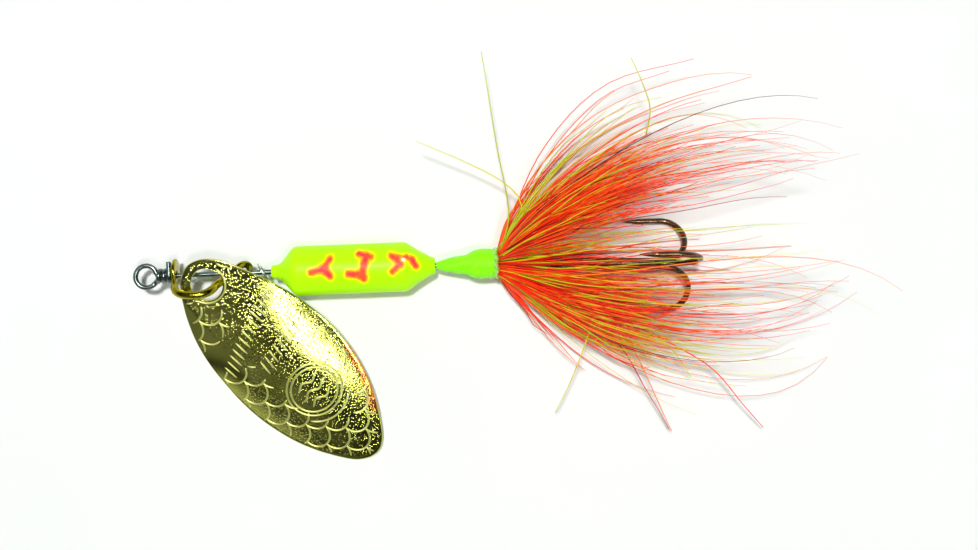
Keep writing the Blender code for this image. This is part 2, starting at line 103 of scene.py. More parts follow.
# Blade
BLADE_T = 0.36 * MM
BLADE_HOLE_R = 1.43 * MM
BLADE_HOLE = Vector((5.60, -0.88, 1.34)) * MM
BLADE_TURN = radians(-48.3)
BLADE_DIP = radians(6.3)
BLADE_ROLL = radians(8.3)
BLADE_HEAD = 2.38
BLADE_LENGTH = 21.5
BLADE_CUP = 1.1
CUP_HALF_WIDTH = 5.45
CUP_START_S = 0.6
CUP_FULL_S = 9.0
BLADE_CAMBER = 1.3
CAMBER_START_S = 3.0
CAMBER_END_S = 21.2
SCALE_WIDE = 2.4
SCALE_LONG = 1.33
SCALE_ROW_S = 17.7
SCALE_ROW_N = 0.78
SCALE_RIM_GAP = 0.26
SCALE_HOLE_GAP = 1.95
OVAL_S = 13.3
OVAL_N = 0.1
BAR_RISE = 0.66
BAR_SLANT = 0.22
HOLE_RING_R = 1.66
RIDGE_HIGH = 0.075
RIDGE_HALF = 0.10
EDGE_ROUND = 0.14
EDGE_POINTS = 420

# Washer, body and thread
WASHER_X = 10.40 * MM
WASHER_R = 0.86 * MM
WASHER_HOLE_R = 0.47 * MM
WASHER_T = 0.16 * MM
WASHER_LEAN = radians(33)
WASHER_HANG = 0.08 * MM
BODY_R = 2.2
BODY_FRONT_X = 11.15
BODY_TAIL_X = 25.72
SHOULDER_X = 13.55
HIP_X = 23.02
BORE_R = 0.32
NOSE_R = 0.57
TAIL_R = 0.7
SPOT_SHIFT = 0.2
SPOT_BLEND = 9.0
SPOT_TRIM = 0.055
THREAD_FRONT_X = 25.82
THREAD_PITCH = 0.135
THREAD_RELIEF = 0.05

# Treble hook
HOOK_R = 0.265 * MM
SHANK_OFFSET = 0.325 * MM
GAPE = 4.55 * MM
HOOK_EYE_X = 30.55 * MM
HOOK_EYE_R = 0.55 * MM
HOOK_EYE_MOUTH = radians(40)
SHANK_START_X = 1.25 * MM
SINGLE_START_X = 1.4 * MM
SHANK_PULL = 0.2 * MM
POINT_LENGTH = 1.5 * MM
HOOK_YAW = radians(-2.3)
# For each hook: the lean of its bend from straight up, and the x of its bend's middle and of its tip.
LEFT_HOOK = (radians(121), 45.93 * MM, 42.6 * MM)
RIGHT_HOOK = (radians(-114.5), 46.23 * MM, 43.1 * MM)
TOP_HOOK = (radians(10), 46.83 * MM, 43.4 * MM)

# Camera
VIEW_CENTRE = Vector((30.46, -1.01, 0)) * MM
VIEW_DISTANCE = 130 * MM
VIEW_ROLL = radians(-2.2)
VIEW_HALF_WIDTH = 43.5 * MM

# Light and floor, in metres and watts
KEY_PLACE = (-0.034, 0.208, 1.20)
KEY_AIM = (0.025, 0, 0)
KEY_SIZE = 0.11
KEY_POWER = 12.8
ROOM_LIGHT = 0.022
FLOOR_SIZE = 3.0


# ---- materials


class Nodes:
    """A node tree, with short calls for the nodes used here."""

    def __init__(self, tree):
        self.tree = tree

    def node(self, kind, **inputs):
        made = self.tree.nodes.new(kind)
        for key, value in inputs.items():
            self.feed(made.inputs[key.replace("_", " ")], value)
        return made

    def feed(self, socket, value):
        if isinstance(value, bpy.types.NodeSocket):
            self.tree.links.new(value, socket)
        elif isinstance(value, tuple) and len(value) == 3 and socket.type == "RGBA":
            socket.default_value = (*value, 1.0)
        else:
            socket.default_value = value

    def place(self, stretch=(1, 1, 1)):
        """Object coordinates in metres, stretched."""
        where = self.node("ShaderNodeTexCoord").outputs["Object"]
        mapping = self.node("ShaderNodeMapping", Vector=where)
        mapping.inputs["Scale"].default_value = stretch
        return mapping.outputs["Vector"]

    def noise(self, scale, detail=2.0, stretch=(1, 1, 1), roughness=0.5):
        sockets = {"Vector": self.place(stretch), "Scale": scale, "Detail": detail, "Roughness": roughness}
        return self.node("ShaderNodeTexNoise", **sockets).outputs["Fac"]

    def cells(self, scale):
        """Distance from the middle of the nearest of many small cells."""
        return self.node("ShaderNodeTexVoronoi", Vector=self.place(), Scale=scale).outputs["Distance"]

    def attribute(self, name):
        made = self.node("ShaderNodeAttribute")
        made.attribute_name = name
        return made.outputs["Fac"]

    def math(self, operation, a, b):
        made = self.tree.nodes.new("ShaderNodeMath")
        made.operation = operation
        for socket, value in zip(made.inputs, (a, b)):
            self.feed(socket, value)
        return made.outputs[0]

    def span(self, value, low, high, to_low=0.0, to_high=1.0):
        """value moved from low..high to to_low..to_high, eased and clamped."""
        made = self.node("ShaderNodeMapRange", Value=value)
        made.interpolation_type = "SMOOTHSTEP"
        sockets = ("From Min", "From Max", "To Min", "To Max")
        for key, number in zip(sockets, (low, high, to_low, to_high)):
            made.inputs[key].default_value = number
        return made.outputs["Result"]

    def ramp(self, value, stops):
        made = self.node("ShaderNodeValToRGB", Fac=value)
        band = made.color_ramp
        while len(band.elements) < len(stops):
            band.elements.new(0.5)
        for element, (at, colour) in zip(band.elements, stops):
            element.position = at
            element.color = (*colour, 1.0)
        return made.outputs["Color"]

    def mix(self, share, a, b):
        made = self.tree.nodes.new("ShaderNodeMix")
        made.data_type = "RGBA"
        for at, value in ((0, share), (6, a), (7, b)):
            self.feed(made.inputs[at], value)
        return made.outputs[2]

    def bump(self, height, distance, strength=1.0):
        made = self.node("ShaderNodeBump", Height=height, Distance=distance, Strength=strength)
        return made.outputs["Normal"]


class Shader(Nodes):
    """A material. Its number sockets are named with _ for a space."""

    def __init__(self, name, **sockets):
        self.mat = bpy.data.materials.new(name)
        self.mat.use_nodes = True
        super().__init__(self.mat.node_tree)
        self.out = self.tree.nodes["Principled BSDF"]
        for key, value in sockets.items():
            self.set(key.replace("_", " "), value)

    def set(self, name, value):
        self.feed(self.out.inputs[name], value)


# Mottled finishes. For each slot: the noise of its colour patches and of its grain, its two tones, the
# roughness the grain gives, the grain's height in metres and strength, and plain sockets.
METAL = {"Metallic": 1.0}
BRONZED = {"Metallic": 0.85, "Coat_Weight": 0.5, "Coat_Roughness": 0.1}
CLEAR = {"Transmission_Weight": 0.25, "IOR": 1.48, "Coat_Weight": 0.6}
MOTTLED = {
    "stainless_wire": (
        ((900, 3), (9000, 3, (0.12, 1, 1))),
        ((0.3, (0.07, 0.10, 0.09)), (0.7, (0.22, 0.27, 0.25))),
        ((0.3, 0.7, 0.16, 0.34), (0.000006, 0.5), METAL),
    ),
    "clevis_gold": (
        ((1500, 4), (14000, 2, (1, 0.15, 0.4))),
        ((0.3, (0.27, 0.24, 0.012)), (0.72, (0.46, 0.40, 0.03))),
        ((0.35, 0.75, 0.12, 0.30), (0.000004, 0.4), METAL),
    ),
    "washer_nickel": (
        [(12000, 3, (1, 1, 0.2))] * 2,
        ((0.3, (0.50, 0.52, 0.50)), (0.7, (0.74, 0.76, 0.74))),
        ((0.3, 0.7, 0.14, 0.3), (0.000005, 0.5), METAL),
    ),
    "bronzed_hook": (
        ((1800, 4), (11000, 2, (0.2, 1, 1))),
        ((0.3, (0.055, 0.030, 0.012)), (0.75, (0.16, 0.10, 0.05))),
        ((0.3, 0.7, 0.20, 0.38), (0.000008, 0.5), BRONZED),
    ),
    "braze_filler": (
        [(5000, 3)] * 2,
        ((0.3, (0.40, 0.28, 0.10)), (0.7, (0.62, 0.46, 0.19))),
        ((0.3, 0.7, 0.35, 0.55), (0.00002, 0.6), METAL),
    ),
    "clear_lacquer": (
        [(3500, 3)] * 2,
        ((0.42, (0.26, 0.90, 0.02)), (0.74, (0.80, 0.97, 0.50))),
        ((0.3, 0.7, 0.06, 0.16), (0.00006, 0.6), CLEAR),
    ),
    "pale_floor": (
        [(30, 3)] * 2,
        ((0.3, (0.81, 0.835, 0.81)), (0.7, (0.84, 0.86, 0.84))),
        ((0.3, 0.7, 0.5, 0.6), None, {"Specular_IOR_Level": 0.25}),
    ),
}


def mottled(name):
    (patches, grain), tones, (gloss, relief, sockets) = MOTTLED[name]
    s = Shader(name, **sockets)
    fine = s.noise(*grain)
    s.set("Base Color", s.ramp(s.noise(*patches), tones))
    s.set("Roughness", s.span(fine, *gloss))
    if relief:
        s.set("Normal", s.bump(fine, *relief))
    return s.mat


def blade_brass():
    """Polished brass: a stippled field that sparkles, smooth raised lines in a lighter brass that is a painted
    highlight, and a painted orange reflection of the hair along the rim next to the body.
    """
    s = Shader("blade_brass", Metallic=1.0)
    # The raised lines take a lighter brass, a painted highlight that keeps them bright whichever way they
    # face.
    ridge_highlight = (0.80, 0.80, 0.26)
    # The orange along the rim next to the body is a painted reflection of the hair.
    reflected_orange = (0.86, 0.36, 0.07)
    field = s.attribute("field")
    ridge = s.attribute("ridge")
    brass = s.ramp(s.noise(420, 3), [(0.3, (0.50, 0.53, 0.09)), (0.7, (0.66, 0.68, 0.16))])
    hair_reflection = s.span(s.math("ADD", s.attribute("painted_reflection"), s.noise(1500, 4)), 0.95, 1.20)
    s.set("Base Color", s.mix(hair_reflection, s.mix(ridge, brass, ridge_highlight), reflected_orange))
    gloss = s.span(field, 0.0, 1.0, 0.14, 0.11)
    s.set("Roughness", s.math("MAXIMUM", gloss, s.math("MULTIPLY", ridge, 0.42)))
    pits = s.span(s.cells(5200), 0.05, 0.50)
    grit = s.math("MULTIPLY", s.noise(6200, 3, roughness=0.7), 0.5)
    stipple = s.math("MULTIPLY", s.math("ADD", grit, pits), field)
    s.set("Normal", s.bump(stipple, 0.000019))
    return s.mat


def body_paint():
    """Fluorescent paint with sprayed spots: orange-red cores, orange edges and yellow halos. Its colour also
    glows as emission, a painted glow that evens out the shaded sides.
    """
    s = Shader("body_paint", Coat_Weight=0.02, Coat_Roughness=0.25, IOR=1.2, Emission_Strength=0.22)
    bare = (0.92, 0.92, 0.86)
    away = s.math("ADD", s.attribute("spot"), s.span(s.noise(3200, 3), 0.0, 1.0, -0.09, 0.09))
    clouds = s.noise(260, 3)
    lime = s.mix(clouds, (0.38, 0.90, 0.001), (0.46, 0.92, 0.002))
    yellow = s.mix(s.span(away, 0.04, 0.42, 1.0, 0.0), lime, (0.74, 0.88, 0.004))
    orange = s.mix(s.span(away, 0.02, 0.16, 1.0, 0.0), yellow, (0.92, 0.36, 0.008))
    core = s.mix(s.span(s.noise(1300, 3), 0.35, 0.65), (0.90, 0.09, 0.022), (0.90, 0.035, 0.055))
    spotted = s.mix(s.span(away, -0.16, 0.06, 1.0, 0.0), orange, core)
    colour = s.mix(s.attribute("chip"), spotted, bare)
    s.set("Base Color", colour)
    # The paint's colour also goes into emission: a painted glow, so the shaded sides stay bright.
    s.set("Emission Color", colour)
    s.set("Roughness", s.span(clouds, 0.3, 0.7, 0.38, 0.48))
    s.set("Normal", s.bump(s.noise(500, 3), 0.00006, 0.35))
    return s.mat


def winding_thread():
    """Fluorescent thread soaked in clear lacquer: fine fibres along each turn. Its colour also glows as
    emission, a painted glow.
    """
    sockets = {"Roughness": 0.45, "IOR": 1.35, "Coat_Weight": 0.06, "Coat_Roughness": 0.12}
    s = Shader("winding_thread", Emission_Strength=0.16, **sockets)
    fibres = s.noise(22000, 2, (1.6, 0.35, 0.35))
    green = s.ramp(s.noise(1100, 3), [(0.3, (0.25, 0.92, 0.001)), (0.72, (0.36, 0.95, 0.002))])
    colour = s.mix(s.span(fibres, 0.35, 0.6), (0.18, 0.78, 0.001), green)
    s.set("Base Color", colour)
    # The thread's colour also goes into emission: a painted glow.
    s.set("Emission Color", colour)
    s.set("Normal", s.bump(fibres, 0.000008, 0.6))
    return s.mat


def hair(name, roots, middles, tips):
    """Dyed hair: each strand has its own tint, and thin ends are paler. Its colour also glows as emission, a
    painted glow.
    """
    s = Shader(name, Roughness=0.42, Specular_IOR_Level=0.35, Emission_Strength=0.13)
    along = s.attribute("along")
    tint = s.attribute("tint")
    lower = s.mix(s.span(along, 0.0, 0.30), s.ramp(tint, roots), s.ramp(tint, middles))
    colour = s.mix(s.span(along, 0.55, 0.95), lower, s.ramp(tint, tips))
    s.set("Base Color", colour)
    # The hair's colour also goes into emission: a painted glow that lightens the shade between strands.
    s.set("Emission Color", colour)
    scales = s.noise(26000, 2, (0.5, 1.5, 1.5))
    s.set("Normal", s.bump(scales, 0.000004, 0.4))
    return s.mat


def hair_red():
    roots = [(0.03, (0.10, 0.003, 0.004)), (0.08, (0.48, 0.007, 0.003)), (0.3, (0.86, 0.014, 0.002))]
    roots += [(0.6, (0.96, 0.032, 0.001)), (1.0, (0.96, 0.12, 0.003))]
    middles = [(0.03, (0.10, 0.004, 0.012)), (0.07, (0.50, 0.010, 0.008)), (0.24, (0.78, 0.016, 0.003))]
    middles += [(0.34, (0.96, 0.030, 0.002)), (0.7, (0.96, 0.055, 0.003)), (1.0, (0.95, 0.26, 0.008))]
    tips = [(0.04, (0.16, 0.010, 0.025)), (0.10, (0.74, 0.16, 0.24))]
    tips += [(0.5, (0.86, 0.10, 0.11)), (1.0, (0.88, 0.30, 0.08))]
    return hair("hair_red", roots, middles, tips)


def hair_chartreuse():
    roots = [(0.0, (0.34, 0.44, 0.004)), (0.6, (0.50, 0.52, 0.006)), (1.0, (0.72, 0.52, 0.008))]
    middles = [(0.0, (0.40, 0.54, 0.008)), (0.6, (0.54, 0.58, 0.010)), (1.0, (0.72, 0.64, 0.015))]
    tips = [(0.0, (0.50, 0.74, 0.06)), (0.6, (0.60, 0.76, 0.08)), (1.0, (0.74, 0.74, 0.14))]
    return hair("hair_chartreuse", roots, middles, tips)


finishes = {name: mottled(name) for name in MOTTLED}
for maker in (blade_brass, body_paint, winding_thread, hair_red, hair_chartreuse):
    finishes[maker.__name__] = maker()


# ---- mesh helpers


def unit(v):
    return v / np.linalg.norm(v, axis=-1, keepdims=True)


def as_array(points):
    return np.array([tuple(p) for p in points], float)


def ring_quads(rings, sides, joined=False):
    """Quads through rings of points, facing out where the rings run along their own axis."""
    i = np.arange(rings if joined else rings - 1)[:, None]
    k = np.arange(sides)[None, :]
    j = (i + 1) % rings
    m = (k + 1) % sides
    corners = [i * sides + k, i * sides + m, j * sides + m, j * sides + k]
    return np.stack(np.broadcast_arrays(*corners), axis=-1).reshape(-1, 4).tolist()


def capped_faces(rings, sides):
    """The same, with the first and the last ring closed."""
    ends = list(range(sides))
    last = (rings - 1) * sides
    return ring_quads(rings, sides) + [ends[::-1], [last + k for k in ends]]


def flipped(faces):
    return [face[::-1] for face in faces]


def circle(sides):
    return np.linspace(0, 2 * pi, sides, endpoint=False)


def spun(x, r, sides):
    """Rings of points about the shaft: x and r in mm have a row for each ring."""
    angle = circle(sides)
    return np.stack([np.repeat(x, sides, axis=1), r * np.cos(angle), r * np.sin(angle)], axis=-1) * MM


def add_piece(name, verts, faces, body, slot, node, attributes=None):
    """A smooth mesh that rides on body, takes slot's finish and stands for a CAD node."""
    mesh = bpy.data.meshes.new(name)
    mesh.from_pydata(verts.reshape(-1, 3).tolist(), [], faces)
    mesh.polygons.foreach_set("use_smooth", np.ones(len(mesh.polygons), bool))
    for key, values in (attributes or {}).items():
        layer = mesh.attributes.new(key, "FLOAT", "POINT")
        layer.data.foreach_set("value", np.asarray(values, np.float32).ravel())
    mesh.materials.append(finishes[slot])
    obj = bpy.data.objects.new(name, mesh)
    bpy.context.scene.collection.objects.link(obj)
    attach(obj, body)
    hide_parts(node)


def join(meshes):
    """One vertex array and one face list from several (verts, faces)."""
    faces = []
    count = 0
    for part_verts, part_faces in meshes:
        faces += [[v + count for v in face] for face in part_faces]
        count += len(part_verts)
    return np.concatenate([verts for verts, _ in meshes]), faces


def cross_frames(path, first):
    """Two cross directions at each point of a path, carried along it without twist."""
    tangents = unit(np.gradient(path, axis=0))
    a = np.zeros_like(path)
    side = np.array(first, float)
    for i, t in enumerate(tangents):
        side = side - t * np.dot(side, t)
        side = side / np.linalg.norm(side)
        a[i] = side
    return a, np.cross(tangents, a)


def rings_round(path, a, b, wide, high, sides):
    """A ring across each point of a path, or of many, with half sizes wide along a and high along b."""
    angle = circle(sides)
    out_a = a[..., None, :] * (wide[..., None] * np.cos(angle))[..., None]
    out_b = b[..., None, :] * (high[..., None] * np.sin(angle))[..., None]
    return path[..., None, :] + out_a + out_b


def tube(path, wide, high=None, sides=24, first=(0.1, 0.2, 1.0)):
    """A swept wire with closed ends. wide and high are its half sizes at each point."""
    wide = np.broadcast_to(wide, len(path))
    high = wide if high is None else np.broadcast_to(high, len(path))
    rings = rings_round(path, *cross_frames(path, first), wide, high, sides)
    return rings.reshape(-1, 3), capped_faces(len(path), sides)


def run_along(path):
    """The distance from a path's start to each of its points."""
    steps = np.linalg.norm(np.diff(path, axis=0), axis=1)
    return np.concatenate([[0], np.cumsum(steps)])


def cut_ends(path, radius, bevel=0.07 * MM):
    """Radii along a wire whose two cut ends are slightly rounded over."""
    at = run_along(path)
    end = np.minimum(at, at[-1] - at)
    return radius - bevel * (1 - np.clip(end / bevel, 0, 1)) ** 2


def even_points(path, at):
    """The points at the given distances along a path."""
    lengths = run_along(path)
    return np.stack([np.interp(at, lengths, path[:, k]) for k in range(path.shape[1])], axis=1)


def resample(path, step):
    """The same line, with its points a step apart."""
    whole = run_along(path)[-1]
    return even_points(path, np.linspace(0, whole, max(3, int(whole / step)) + 1))


def soften(path, window):
    """A moving average that leaves both ends where they are."""
    weights = np.hanning(window + 2)[1:-1]
    weights = weights / weights.sum()
    half = window // 2
    before = 2 * path[0] - path[half:0:-1]
    after = 2 * path[-1] - path[-2 : -half - 2 : -1]
    padded = np.concatenate([before, path, after])
    columns = [np.convolve(padded[:, k], weights, "valid") for k in range(path.shape[1])]
    return np.stack(columns, axis=1)


def turned(outline, step, sides):
    """A closed ring turned about the shaft. outline is (x, r) in mm, the outside towards +X first."""
    fine = resample(np.array([*outline, outline[0]]), step)[:-1]
    smooth = soften(np.concatenate([fine[-2:], fine, fine[:2]]), 5)[2:-2]
    verts = spun(smooth[:, :1], smooth[:, 1:], sides)
    return verts, ring_quads(len(smooth), sides, joined=True)


def ease(start, start_way, end, end_way, pull, count):
    """Points after start on a curve that leaves start along start_way and reaches end along end_way."""
    start_pull = start + start_way * pull
    end_pull = end - end_way * pull
    points = []
    for i in range(1, count + 1):
        t = i / count
        u = 1 - t
        first = start * u**3 + start_pull * 3 * t * u**2
        points.append(first + end_pull * 3 * t**2 * u + end * t**3)
    return points


def open_loop(centre, radius, mouth, across, up, steps):
    """A wire loop with its mouth towards across: its points, and the ways it leaves and comes back."""

    def way(angle):
        return up * cos(angle) - across * sin(angle)

    angles = [mouth + (2 * pi - 2 * mouth) * i / steps for i in range(steps + 1)]
    points = [centre + (across * cos(angle) + up * sin(angle)) * radius for angle in angles]
    return points, way(mouth), way(-mouth)


def smooth_path(knots, steps):
    """A Catmull-Rom curve through knots, with steps points to each stretch."""
    extended = [knots[0] * 2 - knots[1], *knots, knots[-1] * 2 - knots[-2]]
    points = [knots[0].copy()]
    for i in range(1, len(extended) - 2):
        p0, p1, p2, p3 = extended[i - 1 : i + 3]
        for k in range(1, steps + 1):
            t = k / steps
            bend = (p0 * 2 - p1 * 5 + p2 * 4 - p3) * t**2
            twist = (p1 * 3 - p0 - p2 * 3 + p3) * t**3
            points.append((p1 * 2 + (p2 - p0) * t + bend + twist) * 0.5)
    return points


# ---- wire shaft


def helix(x, start, turn, pitch, per_turn=40):
    """Wraps round the shaft, from x and a start angle, running pitch to each turn."""
    count = round(abs(turn) / (2 * pi) * per_turn)
    points = []
    for i in range(count + 1):
        share = i / count
        angle = start - turn * share
        at = x + pitch * turn * share / (2 * pi)
        points.append(Vector((at, WRAP_R * cos(angle), WRAP_R * sin(angle))))
    return points


def line_eye_path():
    """From the shaft round the line eye, back in wraps round the shaft, and off at the tag end."""
    on_axis = Vector((AXIS_REACHED_X, 0, 0))
    loop, leave_way, back_way = open_loop(Vector(), LINE_EYE_R, EYE_MOUTH, X, Y, 60)
    coil = helix(FRONT_WRAP_X, FRONT_WRAP_START, FRONT_WRAP_TURN, WRAP_PITCH)
    coil_way = (coil[1] - coil[0]).normalized()
    tag = coil[-1].copy()
    tag.y = TAG_END_Y
    end_way = (coil[-1] - coil[-2]).normalized()
    path = [on_axis]
    path += ease(on_axis, -X, loop[0], leave_way, EYE_PULL, 12)
    path += loop[1:]
    path += ease(loop[-1], back_way - Z, coil[0], coil_way, BEND_PULL, 12)
    path += coil[1:]
    path += ease(coil[-1], end_way, tag, Y, TAG_PULL, 8)
    return path


def rear_loop_path():
    """From the shaft round the rear loop, and forward in wraps round the shaft."""
    centre = Vector((REAR_LOOP_X, 0, 0))
    on_axis = centre - Vector((REAR_LOOP_NECK, 0, 0))
    loop, leave_way, back_way = open_loop(centre, REAR_LOOP_R, EYE_MOUTH, -X, Z, 40)
    coil = helix(on_axis.x + REAR_WRAP_GAP, REAR_WRAP_START, REAR_WRAP_TURN, -WRAP_PITCH)
    coil_way = (coil[1] - coil[0]).normalized()
    over = (back_way + Y) * 0.7
    path = [on_axis]
    path += ease(on_axis, X, loop[0], leave_way, BEND_PULL, 8)
    path += loop[1:]
    path += ease(loop[-1], over, coil[0], coil_way, BEND_PULL, 8)
    path += coil[1:]
    return path


def make_shaft_wire():
    straight = [Vector((x * MM, 0, 0)) for x in np.arange(29.0, 1.2, -0.4)]
    path = as_array(list(reversed(rear_loop_path())) + straight + line_eye_path())
    path = soften(resample(path, 0.06 * MM), 5)
    verts, faces = tube(path, cut_ends(path, SHAFT_R), sides=20)
    add_piece("shaft_wire_fine", verts, faces, "shaft", "stainless_wire", "shaft_wire")


# ---- clevis


def clevis_frame():
    """Turns the clevis's flat drawing (x along the shaft, y out to the blade) to its place."""
    out = Vector((0, -cos(CLEVIS_ROLL), sin(CLEVIS_ROLL)))
    side = X.cross(out)
    return Matrix(((1, out.x, side.x), (0, out.y, side.y), (0, out.z, side.z)))


def clevis_path():
    """The stirrup's centre line from the left lug to the right, in its flat drawing."""
    lug_way = Vector((sin(RIGHT_LUG_LEAN), -cos(RIGHT_LUG_LEAN), 0))
    right = Vector((RIGHT_LUG_X, 0, 0))
    bow = [(2.68, 0.70), (2.71, 1.40), (2.88, 2.06), (3.38, 2.54), (4.15, 2.76), (5.05, 2.76)]
    bow += [(5.72, 2.50), (6.14, 2.03), (6.38, 1.52), (6.74, 1.12), (7.20, 0.92)]
    knots = [Vector((x, y, 0)) * MM for x, y in bow]
    knots += [right - lug_way * RIGHT_LUG_R, right - lug_way * RIGHT_LUG_FOOT]
    return smooth_path(knots, CLEVIS_STEPS)


def pierced_disc(centre, normal, radius, hole, hole_r, thick, sides=96):
    """A plate with rounded edges and a hole that may lie off its middle."""
    normal = normal.normalized()
    across = normal.orthogonal().normalized()
    angle = circle(sides)
    round_out = np.outer(np.cos(angle), across) + np.outer(np.sin(angle), normal.cross(across))
    inner = np.array(hole) + round_out * hole_r
    gap = np.array(centre) + round_out * radius - inner
    wide = np.linalg.norm(gap, axis=1, keepdims=True)
    way = gap / wide
    corner = thick * 0.4
    rings = []
    for outside in (True, False):
        for a in np.linspace(0, pi, 13) + (-pi / 2 if outside else pi / 2):
            lift = (thick / 2 - corner) * (1 if sin(a) > 0 else -1) + corner * sin(a)
            inset = corner * (abs(cos(a)) - 1)
            out = wide + inset if outside else -inset
            rings.append(inner + way * out + np.array(normal) * lift)
    faces = flipped(ring_quads(sides, len(rings), joined=True))
    return np.stack(rings, axis=1).reshape(-1, 3), faces


def make_clevis():
    """Round wire that flattens towards a pierced lug at each end."""
    turn = clevis_frame()
    flat = as_array(clevis_path())
    stretch = np.arange(len(flat)) / CLEVIS_STEPS
    round_share = step_up(np.minimum(stretch / 1.6, (stretch[-1] - stretch) / 2.2), 0, 1)
    full = CLEVIS_R * (0.84 + 0.16 * np.clip(stretch / 2, 0, 1))
    thin = LUG_T * 0.48
    high = thin + (full - thin) * round_share
    wide = LUG_HALF_WIDTH + (full - LUG_HALF_WIDTH) * round_share
    path = as_array([turn @ Vector(p) for p in flat])
    side = tuple(turn @ Z)
    wire = tube(path, wide, high, sides=32, first=side)
    left = turn @ Vector((LEFT_LUG_X, -LEFT_LUG_RISE, 0))
    hole = Vector((LEFT_LUG_X, 0, 0))
    right = Vector((RIGHT_LUG_X, 0, 0))
    across = turn @ Vector((cos(RIGHT_LUG_LEAN), sin(RIGHT_LUG_LEAN), 0))
    verts, faces = join(
        [
            wire,
            pierced_disc(left, X, LEFT_LUG_R, hole, LEFT_HOLE_R, LUG_T),
            pierced_disc(right, across, RIGHT_LUG_R, right, RIGHT_HOLE_R, LUG_T),
        ]
    )
    add_piece("clevis_fine", verts, faces, "clevis", "clevis_gold", "clevis")


# ---- blade


def blade_edge(count):
    """The outline in mm in the blade's own plane, evenly spaced anticlockwise from the tip."""
    widths = [(21.3, 0.55, 1.05), (20.5, 1.50, 2.15), (18.7, 2.76, 3.40), (16.8, 3.78, 4.42)]
    widths += [(14.8, 4.51, 5.15), (12.3, 5.05, 5.68), (9.9, 5.20, 5.82), (7.7, 5.04, 5.64), (5.4, 4.68, 5.22)]
    widths += [(3.2, 4.06, 4.54), (1.25, 3.32, 3.66), (0, 2.78, 2.94), (-1.0, 2.18, 2.26), (-1.93, 1.25, 1.30)]
    tip = (BLADE_LENGTH, -0.2)
    head = (-BLADE_HEAD, 0.0)
    body_side = [(s, w) for s, w, _ in widths]
    free_side = [(s, -w) for s, _, w in reversed(widths)]
    knots = [Vector((s, w, 0)) for s, w in [tip, *body_side, head, *free_side, tip]]
    fine = as_array(smooth_path(knots, 24))[:, :2]
    return even_points(fine, np.linspace(0, run_along(fine)[-1], count, endpoint=False))


def blade_height(s, n):
    """The middle face of the blade: s from the hole towards the tip and n across, in mm."""
    along = np.clip((s - CUP_START_S) / (CUP_FULL_S - CUP_START_S), 0, 1)
    cup = BLADE_CUP * (0.25 + 0.75 * along * along * (3 - 2 * along))
    bow = np.maximum(0, s - CAMBER_START_S) / (CAMBER_END_S - CAMBER_START_S)
    return -cup * (n / CUP_HALF_WIDTH) ** 2 - BLADE_CAMBER * bow**2


def blade_matrix():
    turn = Matrix.Rotation(BLADE_TURN, 4, "Z")
    dip = Matrix.Rotation(BLADE_DIP, 4, "Y")
    roll = Matrix.Rotation(BLADE_ROLL, 4, "X")
    return Matrix.Translation(BLADE_HOLE) @ turn @ dip @ roll


def step_up(value, low, high):
    """An eased step from 0 at low to 1 at high."""
    t = np.clip((value - low) / (high - low), 0, 1)
    return t * t * (3 - 2 * t)


def rim_gap(s, n, edge):
    """How far points lie inside the blade's outline, in mm; negative outside it."""
    sides = np.roll(edge, -1, axis=0) - edge
    sides = sides / np.linalg.norm(sides, axis=1, keepdims=True)
    gap = np.full(s.shape, 99.0)
    for (es, en), (ds, dn) in zip(edge[::4], sides[::4]):
        gap = np.minimum(gap, ds * (n - en) - dn * (s - es))
    return gap


def in_field(s, n):
    """True in the plain middle of the blade, three ovals where there are no scales."""
    inside = False
    for at_s, half_s, at_n, half_n in ((6.0, 1.9, -0.2, 4.7), (10.7, 6.5, 0.7, 3.1), (3.2, 2.4, 1.2, 1.9)):
        inside = inside | (np.hypot((s - at_s) / half_s, (n - at_n) / half_n) < 1)
    return inside


def scale_lines(edge):
    """Fish scales with their round ends towards the tip, each row half a scale across."""
    turn = np.linspace(-pi / 2, pi / 2, 27)
    lines = []
    for row in range(-15, 3):
        for column in range(-3, 4):
            middle = SCALE_ROW_N + SCALE_WIDE * (column + 0.5 * (row % 2))
            s = SCALE_ROW_S + SCALE_LONG * (row + np.cos(turn))
            n = middle + SCALE_WIDE / 2 * np.sin(turn)
            arc = np.stack([s, n], axis=1)
            keep = (rim_gap(s, n, edge) > SCALE_RIM_GAP) & (np.hypot(s, n) > SCALE_HOLE_GAP)
            keep = keep & ~in_field(s, n)
            cuts = np.flatnonzero(np.diff(keep)) + 1
            pieces = zip(np.split(arc, cuts), np.split(keep, cuts))
            lines += [piece for piece, kept in pieces if kept[0] and len(piece) > 4]
    return lines


def oval(s, n, half_s, half_n, start=0.0, end=360.0, count=60):
    """An oval line, or the part of it between two angles in degrees."""
    turn = np.radians(np.linspace(start, end, count))
    return np.stack([s + half_s * np.cos(turn), n + half_n * np.sin(turn)], axis=1)


def mark_lines():
    """Plain ornament in the field: two rows of even slanting bars, and an oval with ripples in it."""
    lines = [oval(0, 0, HOLE_RING_R, HOLE_RING_R, -105, 105, 50)]
    for start, end, count in (((7.1, -4.3), (4.1, 3.6), 14), ((8.9, -1.6), (7.9, 3.0), 8)):
        row = np.linspace(start, end, count)
        way = unit(row[-1] - row[0])
        slant = np.array((-way[1], way[0])) * BAR_RISE + way * BAR_SLANT
        lines += [np.linspace(middle - slant, middle + slant, 8) for middle in row]
    lines.append(oval(OVAL_S, OVAL_N, 2.35, 2.55))
    lines.append(oval(OVAL_S, OVAL_N, 1.98, 2.18))
    for at in (-0.9, 0.0, 0.9):
        n = np.linspace(-1.5, 1.5, 26) * (1 - 0.22 * abs(at))
        lines.append(np.stack([OVAL_S + at + 0.2 * np.sin(n * 3.6), n + OVAL_N], axis=1))
    lines.append(oval(OVAL_S, OVAL_N, 3.05, 3.0, -52, 38, 40))
    return lines


def blade_surface(s, n):
    """A point on the blade's front face, in mm in its own frame."""
    return np.stack([s, n, blade_height(s, n) + BLADE_T / MM / 2], axis=-1)


